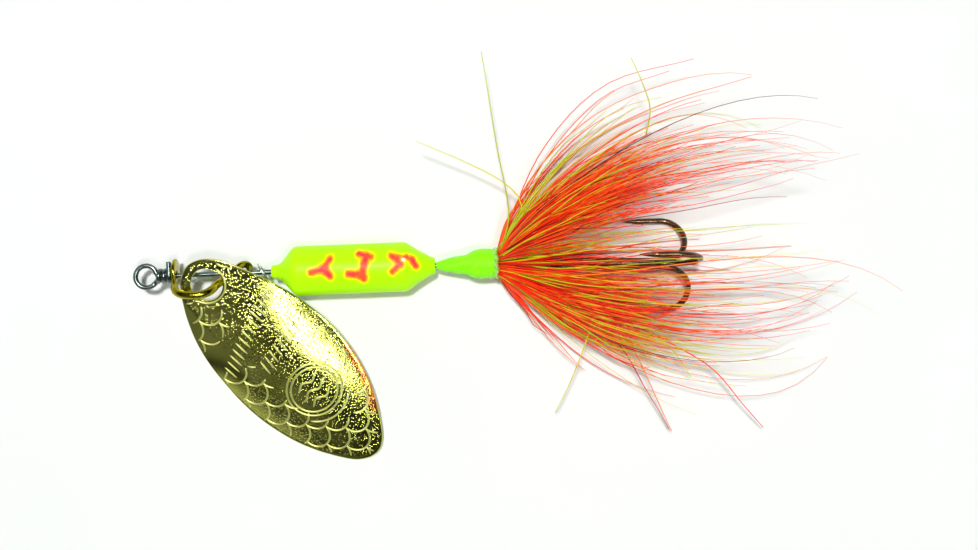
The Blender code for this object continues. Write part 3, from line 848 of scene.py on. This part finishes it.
def relief_strip(line):
    """A low rounded ridge along a line on the blade's face, sunk a little into it."""
    s, n = line[:, 0], line[:, 1]
    e = 0.01
    path = blade_surface(s, n)
    up = unit(np.cross(blade_surface(s + e, n) - path, blade_surface(s, n + e) - path))
    way = unit(np.gradient(path, axis=0))
    side = np.cross(up, way)
    steps = np.linspace(0, 1, len(line))
    closed = np.linalg.norm(path[0] - path[-1]) < 0.01
    ends = np.clip(np.minimum(steps, 1 - steps) * len(line) / 2.5, 0.05, 1) ** 0.6
    if closed:
        ends = np.ones(len(line))
    across = np.array((-1.0, -0.72, -0.36, 0.0, 0.36, 0.72, 1.0, 0.5, -0.5))
    over = np.array((-0.25, 0.42, 0.86, 1.0, 0.86, 0.42, -0.25, -0.55, -0.55))
    wide = (RIDGE_HALF * (0.45 + 0.55 * ends))[:, None, None]
    high = (RIDGE_HIGH * ends)[:, None, None]
    sunk = np.minimum(over, 0)[None, :, None] * RIDGE_HIGH
    raised = np.maximum(over, 0)[None, :, None] * high
    rings = path[:, None] + side[:, None] * across[None, :, None] * wide + up[:, None] * (raised + sunk)
    return rings.reshape(-1, 3), flipped(capped_faces(len(line), len(across)))


def blade_stations(length):
    """Distances out from the hole's edge to the rim: close at both edges, closer towards the rim."""
    rise = EDGE_ROUND * (1 - np.cos(np.linspace(0, pi / 2, 6)))
    share = 1 - (1 - np.linspace(0, 1, 56)[1:-1]) ** 1.25
    inside = EDGE_ROUND + (length[:, None] - 2 * EDGE_ROUND) * share[None, :]
    first = np.repeat(rise[None, :], len(length), axis=0)
    last = length[:, None] - rise[None, ::-1]
    return np.concatenate([first, inside, last], axis=1)


def make_blade():
    """A plate whose skin runs out from the hole to the rim and back underneath, with raised lines on it."""
    edge = blade_edge(EDGE_POINTS)
    angle = circle(EDGE_POINTS)
    hole = np.stack([np.cos(angle), np.sin(angle)], axis=1) * (BLADE_HOLE_R / MM)
    length = np.linalg.norm(edge - hole, axis=1)
    way = (edge - hole) / length[:, None]
    at = blade_stations(length)
    flat = hole[:, None, :] + way[:, None, :] * at[:, :, None]
    s, n = flat[..., 0], flat[..., 1]
    near = np.minimum(at, length[:, None] - at)
    into_corner = 1 - np.clip(near / EDGE_ROUND, 0, 1)
    half = BLADE_T / MM / 2 * np.sqrt(np.clip(1 - into_corner**2, 0, 1))
    middle = blade_height(s, n)
    # The stipple fades at the edges and in a smooth strip along the free side of the head.
    stippled = np.maximum(step_up(n + 0.10 * s, -2.7, -2.2), step_up(s, 8.0, 10.0))
    field = step_up(near, 0.1, 0.5) * (0.12 + 0.88 * stippled)
    # The rim next to the body is tinted orange, a painted reflection of the orange hair.
    painted_reflection = step_up(s, 11.5, 13.0) * (1 - step_up(s, 17.5, 20.0)) * (1 - step_up(near, 0.7, 1.7)) * (n > 0)
    # The plain back needs fewer rings than the front.
    picks = np.r_[0:6, 6 : at.shape[1] - 6 : 6, at.shape[1] - 6 : at.shape[1]]
    front = np.stack([s, n, middle + half], axis=-1)
    back = np.stack([s, n, middle - half], axis=-1)[:, picks][:, ::-1]
    loop = np.concatenate([front, back[:, 1:-1]], axis=1)
    extra = loop.shape[1] - s.shape[1]
    plate = (loop.reshape(-1, 3), flipped(ring_quads(EDGE_POINTS, loop.shape[1], joined=True)))
    strips = [relief_strip(line) for line in scale_lines(edge) + mark_lines()]
    verts, faces = join([plate, *strips])
    turn = np.array(blade_matrix())
    verts = verts * MM @ turn[:3, :3].T + turn[:3, 3]
    raised = len(verts) - len(plate[0])

    def spread(values, fill, on_ridge):
        whole = np.concatenate([values, np.full((EDGE_POINTS, extra), fill)], axis=1)
        return np.concatenate([whole.ravel(), np.full(raised, on_ridge)])

    attributes = {
        "field": spread(field, 0.3, 0.0),
        "ridge": spread(np.zeros_like(field), 0.0, 1.0),
        "painted_reflection": spread(painted_reflection, 0.0, 0.0),
    }
    add_piece("blade_fine", verts, faces, "blade", "blade_brass", "blade", attributes)


# ---- washer, body and winding


def make_washer():
    disc_way = Matrix.Rotation(WASHER_LEAN, 3, "Z") @ X
    centre = Vector((WASHER_X, WASHER_HANG, 0))
    verts, faces = pierced_disc(centre, disc_way, WASHER_R, centre, WASHER_HOLE_R, WASHER_T)
    add_piece("thrust_washer_fine", verts, faces, "washer", "washer_nickel", "thrust_washer")


def capsule(x, y, ax, ay, bx, by, r):
    """How far points lie outside a round-ended stroke from a to b, in mm."""
    span = (bx - ax) ** 2 + (by - ay) ** 2
    t = np.clip(((x - ax) * (bx - ax) + (y - ay) * (by - ay)) / span, 0, 1)
    return np.hypot(x - ax - t * (bx - ax), y - ay - t * (by - ay)) - r


def spot_distance(x, y):
    """Distance outside the three sprayed spots, each made of strokes (from, to, half width)."""
    front = [(14.72, -0.20, 15.83, 0.06, 0.30), (15.83, 0.06, 16.40, 1.00, 0.27)]
    front += [(15.83, 0.06, 16.33, -0.55, 0.34)]
    middle = [(18.92, 1.28, 19.98, 0.98, 0.27), (19.55, 1.05, 19.38, 0.35, 0.30)]
    middle += [(19.38, 0.35, 19.12, -0.60, 0.30), (19.12, -0.55, 17.98, -0.45, 0.32)]
    middle += [(19.12, -0.70, 19.28, -0.88, 0.32)]
    rear = [(21.75, 1.02, 22.20, 0.72, 0.28), (22.20, 0.72, 22.55, 0.25, 0.24)]
    rear += [(22.50, 0.18, 21.80, -0.40, 0.27), (22.35, 0.92, 23.10, 0.90, 0.10)]
    rear += [(23.10, 0.85, 23.55, 0.62, 0.18), (23.55, 0.62, 23.88, 0.02, 0.28)]
    apart = np.array([capsule(x - SPOT_SHIFT, y, *stroke) for stroke in front + middle + rear])
    return SPOT_TRIM - np.log(np.exp(-SPOT_BLEND * apart).sum(axis=0)) / SPOT_BLEND


def make_body():
    """The slug: a rounded nose, a straight barrel and a long tail cone, with spots on two opposite sides."""
    nose = [(0, -0.07), (0.08, 0), (0.50, 0.03), (0.83, 0.15), (1.08, 0.43), (1.78, 1.29), (2.06, 1.55)]
    tail = [(2.45, 1.40), (2.15, 1.20), (1.48, 0.74), (0.88, 0.40), (0.40, 0.12), (0.05, 0), (0, -0.12)]
    outline = [(BODY_FRONT_X, BORE_R)]
    outline += [(BODY_FRONT_X + x, NOSE_R + r) for x, r in nose]
    outline += [(SHOULDER_X, BODY_R), (HIP_X, BODY_R)]
    outline += [(BODY_TAIL_X - x, TAIL_R + r) for x, r in tail]
    outline += [(BODY_TAIL_X, BORE_R)]
    verts, faces = turned(outline, 0.062, 168)
    x = verts[..., 0] / MM
    y = verts[..., 1] / MM
    z = verts[..., 2]
    r = np.hypot(y, z / MM)
    over = np.where(z >= 0, y, -y)
    spot = np.minimum(spot_distance(x, over), 3.0)
    # One small chip in the paint at the hip, on the upper side.
    chip = (1 - step_up(np.hypot((x - 23.02) / 1.35, over - 0.62), 0.10, 0.17)) * (r > 1.5) * (z > 0)
    attributes = {"spot": spot, "chip": chip}
    add_piece("lure_body_fine", verts, faces, "lure_body", "body_paint", "lure_body", attributes)


def make_thread_wrap():
    """One thread wound side by side along the winding's outline, as a helical relief."""
    outside = [(0.0, 0.31), (0.33, 0.41), (0.78, 0.56), (1.58, 0.74), (2.18, 0.83), (2.68, 0.90)]
    outside += [(3.08, 1.12), (3.48, 1.29), (4.08, 1.35), (4.88, 1.33), (5.18, 1.20), (5.23, 1.02)]
    inside = [(5.23, 0.80), (4.88, 0.95), (3.43, 0.95), (3.08, 0.75), (1.93, 0.73), (0.78, 0.40), (0.0, 0.26)]
    fine = soften(resample(np.array(outside), 0.016), 21)
    inner = np.array(inside)
    sides = 72
    angle = circle(sides)[None, :]
    run = run_along(fine)[:, None]
    wander = 0.35 * np.sin(run * 2.1) + 0.2 * np.sin(run * 5.3 + 2 * angle)
    phase = run / THREAD_PITCH - angle / (2 * pi) + wander
    relief = THREAD_RELIEF * (np.abs(np.cos(pi * phase)) ** 0.6 - 1)
    uneven = 0.02 * np.sin(3 * angle + run * 1.7)
    r = fine[:, 1:] + relief + uneven * (fine[:, 1:] > 0.6)
    shell = spun(fine[:, :1] + THREAD_FRONT_X, r, sides)
    hollow = spun(inner[:, :1] + THREAD_FRONT_X, inner[:, 1:], sides)
    verts = np.concatenate([shell, hollow])
    faces = ring_quads(len(verts), sides, joined=True)
    add_piece("thread_wrap_fine", verts, faces, "shaft", "winding_thread", "thread_wrap")


def make_lacquer():
    """A wet, uneven bead of lacquer behind the last turns of thread."""
    outline = [(30.90, 0.95), (30.92, 1.30), (31.10, 1.36), (31.24, 1.30), (31.36, 1.12), (31.36, 0.80)]
    sides = 120
    verts, faces = turned(outline, 0.03, sides)
    angle = circle(sides)
    lumps = 0.045 * np.sin(5 * angle + 1.0) + 0.03 * np.sin(11 * angle) + 0.02 * np.sin(19 * angle + 2)
    verts[..., 1:] *= (1 + lumps)[:, None]
    verts[..., 0] += 0.05 * MM * np.sin(7 * angle)
    add_piece("lacquer_bead", verts, faces, "shaft", "clear_lacquer", "lacquer_ring")


# ---- treble hook


def hook_path(lean, bend_x, tip_x):
    """One hook's round bend and its straight run to the tip, and the way its bend leans."""
    way = Vector((0, sin(lean), cos(lean)))
    bend_r = (GAPE - SHANK_OFFSET) / 2
    centre = Vector((bend_x - HOOK_EYE_X, 0, 0)) + way * (SHANK_OFFSET + bend_r)
    path = []
    for angle in np.linspace(0, pi, 49):
        path.append(centre + Vector((sin(angle), 0, 0)) * bend_r - way * bend_r * cos(angle))
    tip = centre + way * (bend_r - 0.12 * MM)
    tip.x = tip_x - HOOK_EYE_X
    return path + [path[-1].lerp(tip, share) for share in np.linspace(0.06, 1, 22)], way


def point_radii(path):
    """Full radius, then a slim ground point at the end."""
    at = run_along(path)
    share = np.clip((at[-1] - at) / POINT_LENGTH, 0, 1)
    return HOOK_R * (0.06 + 0.94 * share**0.75)


def barb(path, way):
    """A sliver raised from the inside of the wire behind the point."""
    tip = np.array(path[-1])
    back = unit(np.array(path[-8]) - tip)
    inward = -np.array(way)
    root = tip + back * 1.25 * MM + inward * 0.10 * MM
    line = np.linspace(0, 1, 10)[:, None]
    spine = root + back * line * 0.62 * MM + inward * (line**1.5) * 0.34 * MM
    thick = (0.15 * (1 - line[:, 0]) ** 0.8 + 0.012) * MM
    return tube(spine, thick * 0.7, thick, sides=12, first=np.cross(back, inward))


def place_treble(verts):
    turn = Matrix.Rotation(HOOK_YAW, 3, "Z")
    return verts @ np.array(turn).T + np.array((HOOK_EYE_X, 0, 0))


def make_hook_pair():
    """Two hooks and the eye between their shanks, bent from one wire."""
    left, left_way = hook_path(*LEFT_HOOK)
    right, right_way = hook_path(*RIGHT_HOOK)
    eye, leave_way, back_way = open_loop(Vector(), HOOK_EYE_R, HOOK_EYE_MOUTH, X, Y, 40)
    left_shank, right_shank = left[0].copy(), right[0].copy()
    left_shank.x = right_shank.x = SHANK_START_X
    middle = [left_shank]
    middle += ease(left_shank, -X, eye[0], leave_way, SHANK_PULL, 12)
    middle += eye[1:]
    middle += ease(eye[-1], back_way, right_shank, X, SHANK_PULL, 12)
    path = soften(resample(as_array(left[::-1] + middle + right), 0.09 * MM), 3)
    radii = np.minimum(point_radii(path), point_radii(path[::-1])[::-1])
    pieces = [tube(path, radii), barb(left, left_way), barb(right, right_way)]
    verts, faces = join(pieces)
    add_piece("hook_pair_fine", place_treble(verts), faces, "shaft", "bronzed_hook", "hook_pair")


def make_hook_single():
    """The third hook, on its own wire."""
    bend, way = hook_path(*TOP_HOOK)
    front = bend[0].copy()
    front.x = SINGLE_START_X
    path = soften(resample(as_array([front, *bend]), 0.09 * MM), 3)
    verts, faces = join([tube(path, point_radii(path)), barb(bend, way)])
    verts = place_treble(verts)
    add_piece("hook_single_fine", verts, faces, "shaft", "bronzed_hook", "hook_single")


# ---- hackle

# Each lock: its place round the tie in degrees (0 towards +Y, 90 up), how steeply it leaves, where it ends
# in mm, how many hairs it has, how far round the tie they spread, and the least share of its arch they take.
LOCKS = [
    ("red_1", -22, 66, (54.0, 16.6, 0.5), 12, 12, 0.80),
    ("chartreuse_1", 10, 58, (57.5, 13.8, 4.4), 56, 36, 0.36),
    ("red_2", 28, 50, (59.5, 11.0, 4.6), 280, 21, 0.52),
    ("red_3", 54, 38, (61.0, 7.0, 6.4), 50, 8, 0.78),
    ("chartreuse_2", 80, 30, (62.0, 2.8, 7.4), 14, 48, 0.30),
    ("red_4", 106, 30, (61.0, -2.0, 7.0), 34, 12, 0.30),
    ("chartreuse_3", 132, 34, (62.5, -5.6, 5.6), 24, 26, 0.20),
    ("red_5", 156, 42, (60.5, -8.8, 3.6), 290, 16, 0.14),
    ("chartreuse_4", 178, 43, (58.5, -11.6, 1.8), 50, 18, 0.40),
    ("red_6", 206, 54, (52.5, -14.6, -0.9), 7, 12, 0.50),
    ("red_7", 238, 8, (56.0, -2.2, -1.75), 34, 26, 0.60),
    ("red_8", 302, 8, (56.0, 1.0, -1.75), 16, 26, 0.60),
]
HACKLE_X = 31.3
HAIR_R = 0.060
HAIR_STEPS = 18
HAIR_SIDES = 4
SHORT_SHARE = {"hair_red": 0.55, "hair_chartreuse": 0.22}

# Loose single hairs: the lock they belong to and the places they pass through, in mm.
STRAYS = {
    "chartreuse_1": [
        [(31.4, 0.8, 0.6), (32.4, 4.25, 1.5), (31.6, 10.1, 2.6), (30.5, 18.4, 3.2)],
        [(31.5, 1.0, 0.3), (33.6, 4.6, 0.8), (31.6, 7.4, 1.6), (24.6, 10.9, 2.4)],
        [(44.6, 10.6, 2.5), (45.0, 12.9, 3.0), (44.4, 15.0, 3.5), (43.4, 17.2, 4.2)],
    ],
    "red_1": [
        [(31.4, 1.0, 0.2), (35.4, 9.6, 0.6), (41.2, 15.2, 1.4), (49.0, 17.2, 2.4)],
        [(31.4, 1.0, 0.0), (35.8, 9.0, 0.2), (41.0, 14.2, 0.6), (47.0, 16.4, 1.2)],
        [(31.5, 1.0, 0.4), (37.6, 8.8, 1.4), (45.2, 13.0, 2.4), (53.9, 15.3, 3.0)],
    ],
    "chartreuse_4": [
        [(40.2, -2.6, 2.2), (39.2, -6.0, 1.8), (37.6, -10.0, 1.2), (35.9, -13.4, 0.4)],
        [(43.2, -5.6, 1.6), (45.4, -7.4, 1.4), (47.0, -9.0, 0.8), (48.1, -10.9, 0.0)],
    ],
    "red_6": [
        [(38.6, -4.2, 0.4), (41.6, -7.4, 0.4), (43.9, -11.4, 0.0), (46.0, -15.4, -0.8)],
        [(38.9, -4.0, 0.6), (42.4, -7.2, 0.6), (44.4, -11.2, 0.2), (46.2, -15.5, -0.6)],
        [(44.5, -6.6, 0.6), (49.6, -9.8, 0.6), (52.6, -13.4, 0.0), (54.5, -15.6, -0.9)],
    ],
}


def lock_hairs(around, steep, tip, count, spread, least):
    """Root, two pulls and tip of each hair in a lock, in mm, scattered about the lock's own line."""
    turn = radians(around) + rng.normal(0, radians(spread), count)
    out = np.stack([np.zeros(count), np.cos(turn), np.sin(turn)], axis=1)
    away = np.hypot(tip[1], tip[2])
    tip_turn = np.arctan2(tip[2], tip[1]) + (turn - radians(around)) * 0.9 + rng.normal(0, 0.14, count)
    reach = least + (1.08 - least) * rng.beta(1.5, 1.4, count)
    end_x = tip[0] + rng.normal(-0.5, 1.6, count)
    end_r = away * reach
    end = np.stack([end_x, end_r * np.cos(tip_turn), end_r * np.sin(tip_turn)], axis=1)
    root = np.array((HACKLE_X, 0, 0)) + out * rng.uniform(0.55, 1.2, count)[:, None]
    lean = radians(steep) * (0.25 + 0.85 * reach)
    leave = np.stack([np.cos(lean), np.sin(lean) * out[:, 1], np.sin(lean) * out[:, 2]], axis=1)
    far = np.linalg.norm(end - root, axis=1)[:, None]
    sway = rng.normal(0, 0.045, (count, 3)) * (0.2, 1, 0.5) * far
    droop = rng.normal(0, 0.26, (count, 3)) * (0.2, 1, 0.7)
    arrive = unit(np.array((1.0, 0, 0)) + out * rng.uniform(-0.55, 0.15, (count, 1)) + droop)
    return root, root + leave * far * 0.36, end - arrive * far * 0.34 + sway, end


def hair_lengths(count, short_share):
    """How much of the arch each hair takes: many short, some middling, a few to the end."""
    short = rng.uniform(0.24, 0.54, count)
    long = 0.40 + 0.56 * rng.beta(1.1, 2.6, count)
    full = rng.uniform(0.86, 1.06, count)
    kind = rng.uniform(0, 1, count)
    return np.where(kind < short_share, short, np.where(kind > 0.93, full, long))


def hair_points(root, pull_a, pull_b, end, length):
    """Points along each hair, which takes the given share of its arch."""
    t = np.linspace(0, 1, HAIR_STEPS)[None, :, None] * length[:, None, None]
    u = 1 - t
    a, b, c, d = (p[:, None, :] for p in (root, pull_a, pull_b, end))
    return a * u**3 + b * 3 * t * u**2 + c * 3 * t**2 * u + d * t**3


def stray_points(lines):
    """The same number of points along each loose hair."""
    made = []
    for line in lines:
        fine = as_array(smooth_path([Vector(p) for p in line], 12))
        made.append(resample(fine, run_along(fine)[-1] / (HAIR_STEPS - 0.5))[:HAIR_STEPS])
    return np.array(made)


def rest_on_floor(points, radius):
    """Hairs that reach the floor lie along it, some on top of others."""
    low = FLOOR_Z / MM + radius + rng.uniform(0.02, 0.5, (len(points), 1)) ** 1.5
    z = points[..., 2]
    under = low - z
    soft = 0.25
    points[..., 2] = np.where(under > -soft, z + (under + soft) ** 2 / (4 * soft), z)
    points[..., 2] = np.where(under > soft, low, points[..., 2])
    return points


def make_lock(name, around, steep, tip, count, spread, least):
    slot = "hair_red" if "red" in name else "hair_chartreuse"
    length = hair_lengths(count, SHORT_SHARE[slot])
    points = hair_points(*lock_hairs(around, steep, tip, count, spread, least), length)
    along = np.linspace(0, 1, HAIR_STEPS)
    strays = STRAYS.get(name, [])
    loose = len(strays)
    if loose:
        points = np.concatenate([points, stray_points(strays)])
        length = np.concatenate([length, np.ones(loose)])
    total = len(points)
    phase = rng.uniform(0, 2 * pi, (total, 1, 3))
    size = rng.uniform(0.04, 0.34, (total, 1, 1))
    size[total - loose :] *= 0.2
    waves = rng.uniform(0.8, 2.2, (total, 1, 1))
    bend = np.sin(along[None, :, None] * 2 * pi * waves + phase) * size
    points = points + bend * along[None, :, None] ** 1.2
    root_r = HAIR_R * rng.uniform(0.8, 1.35, (total, 1)) * (1.30 - 0.52 * length[:, None])
    radius = root_r * (1.0 - 0.72 * along[None, :] ** 1.4)
    radius[total - loose :] = HAIR_R * ((0.90 if name == "red_1" else 1.15) - 0.45 * along)
    points = rest_on_floor(points, radius)
    tangents = unit(np.gradient(points, axis=1))
    a = unit(np.cross(tangents, np.array((0.12, 0.35, 0.93))))
    b = np.cross(tangents, a)
    rings = rings_round(points, a, b, radius, radius, HAIR_SIDES)
    per = HAIR_STEPS * HAIR_SIDES
    starts = np.arange(total)[:, None, None] * per
    faces = (np.array(capped_faces(HAIR_STEPS, HAIR_SIDES)) + starts).reshape(-1, 4).tolist()
    tint = np.repeat(rng.uniform(0, 1, total), per)
    share = (length[:, None] * along[None, :]).repeat(HAIR_SIDES, axis=1).ravel()
    attributes = {"along": share, "tint": tint}
    node = "hackle_" + name
    add_piece(node + "_hair", rings * MM, faces, "shaft", slot, node, attributes)


# ---- stage


def make_floor():
    bpy.ops.mesh.primitive_plane_add(size=FLOOR_SIZE, location=(VIEW_CENTRE.x, VIEW_CENTRE.y, FLOOR_Z))
    floor = bpy.context.object
    floor.name = "floor"
    floor.data.materials.append(finishes["pale_floor"])


def make_camera():
    data = bpy.data.cameras.new("camera")
    data.sensor_width = 36
    data.lens = 18 * VIEW_DISTANCE / VIEW_HALF_WIDTH
    data.clip_start = 0.002
    data.clip_end = 20
    camera = bpy.data.objects.new("camera", data)
    camera.location = VIEW_CENTRE + Vector((0, 0, VIEW_DISTANCE))
    camera.rotation_euler = (0, 0, VIEW_ROLL)
    bpy.context.scene.collection.objects.link(camera)
    bpy.context.scene.camera = camera


def make_key():
    """One soft lamp high above, a little towards +Y."""
    data = bpy.data.lights.new("key", "AREA")
    data.shape = "SQUARE"
    data.size = KEY_SIZE
    data.energy = KEY_POWER
    lamp = bpy.data.objects.new("key", data)
    lamp.location = KEY_PLACE
    aim = Vector(KEY_AIM) - Vector(KEY_PLACE)
    lamp.rotation_euler = aim.to_track_quat("-Z", "Y").to_euler()
    bpy.context.scene.collection.objects.link(lamp)


def make_world():
    """A dim room, lighter low down and in a few small patches that polished metal reflects."""
    world = bpy.data.worlds.new("room")
    bpy.context.scene.world = world
    world.use_nodes = True
    n = Nodes(world.node_tree)
    way = n.node("ShaderNodeTexCoord").outputs["Generated"]
    level = ROOM_LIGHT
    # Each patch: its direction, the cosines where it begins and is full, and its strength.
    patches = (
        ((0.0, 0.0, 1.0), 0.50, 0.24, 0.66),
        ((0.145, -0.230, 1.0), 0.9980, 0.9993, 16.0),
        ((0.19, -0.19, 1.0), 0.9975, 0.9993, 36.0),
        ((0.25, -0.14, 1.0), 0.9980, 0.9993, 20.0),
        ((0.19, -0.20, 1.0), 0.984, 0.997, 0.22),
        ((-0.52, -0.72, 1.0), 0.950, 0.985, 0.15),
        ((0.48, -0.06, 1.0), 0.985, 0.996, 0.14),
    )
    for aim, none, full, strength in patches:
        dot = n.node("ShaderNodeVectorMath")
        dot.operation = "DOT_PRODUCT"
        n.feed(dot.inputs[0], way)
        n.feed(dot.inputs[1], Vector(aim).normalized())
        level = n.math("ADD", n.span(dot.outputs["Value"], none, full, 0.0, strength), level)
    background = world.node_tree.nodes["Background"]
    n.feed(background.inputs["Color"], (0.98, 1.0, 1.0))
    n.feed(background.inputs["Strength"], level)


# ---- assembly


def main():
    make_shaft_wire()
    make_clevis()
    make_blade()
    make_washer()
    make_body()
    make_hook_pair()
    make_hook_single()
    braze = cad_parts["hook_braze"].data.materials
    braze.clear()
    braze.append(finishes["braze_filler"])
    make_thread_wrap()
    make_lacquer()
    for lock in LOCKS:
        make_lock(*lock)
    make_floor()
    make_camera()
    make_world()
    make_key()
    bpy.context.scene.view_settings.view_transform = "Standard"


main()
